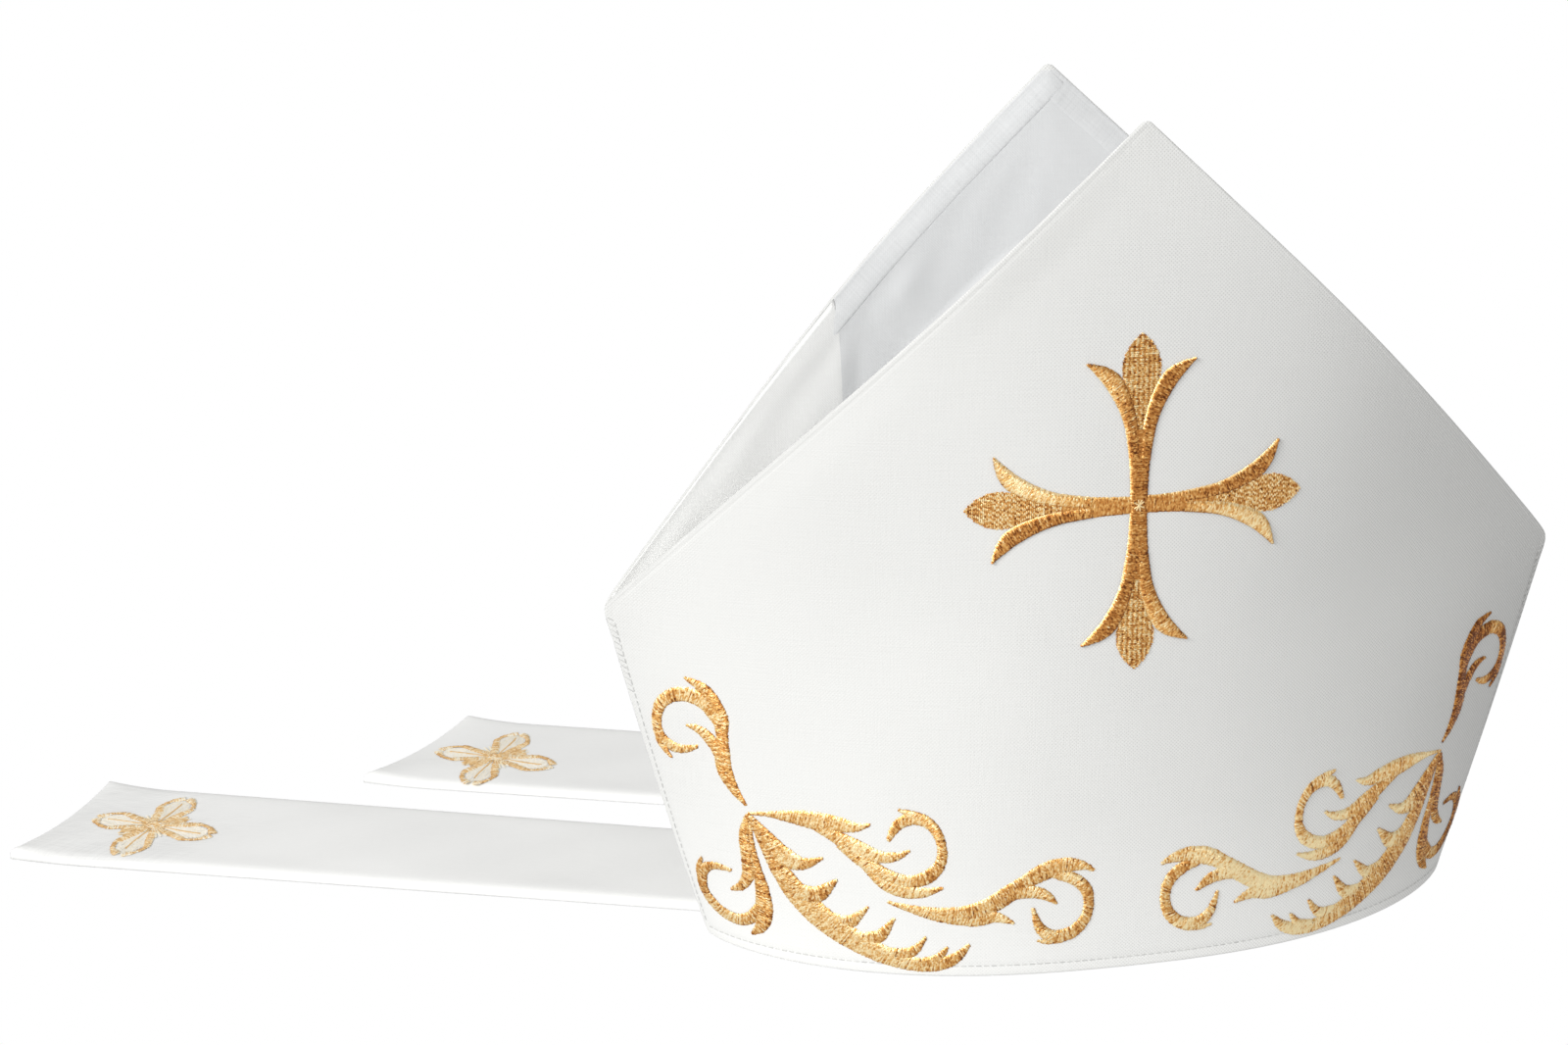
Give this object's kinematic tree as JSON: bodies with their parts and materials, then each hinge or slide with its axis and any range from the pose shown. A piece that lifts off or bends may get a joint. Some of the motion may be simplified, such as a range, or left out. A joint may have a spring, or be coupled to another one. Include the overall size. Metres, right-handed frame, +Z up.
{
  "type": "bishop mitre",
  "caption": "Bishop's mitre: two stiff peaked cloth panels open round a head, a soft gusset between them, gold embroidery, and two lappets lying on the surface behind it.",
  "frame": {"origin": "middle of the head opening, level with the lower rim and the surface that the mitre stands on", "axes": "+Z up, front panel facing -Y, +X to the right of someone looking at the front"},
  "size_m": [0.5321, 0.2431, 0.2787],
  "materials": {
    "white_cloth": "fine off-white woven polyester, slight satin sheen",
    "gusset_cloth": "soft cool white lining cloth",
    "gold_thread": "metallic gold embroidery thread"
  },
  "bodies": {
    "root": {"front_panel": "white_cloth", "back_panel": "white_cloth", "crown_gusset": "gusset_cloth", "lappet_left": "white_cloth", "lappet_right": "white_cloth", "front_cross": "gold_thread", "curl_left": "gold_thread", "spray_left": "gold_thread", "scroll_left": "gold_thread", "curl_right": "gold_thread", "spray_right": "gold_thread", "scroll_right": "gold_thread", "lappet_cross_left": "gold_thread", "lappet_cross_right": "gold_thread"}
  },
  "joints": []
}
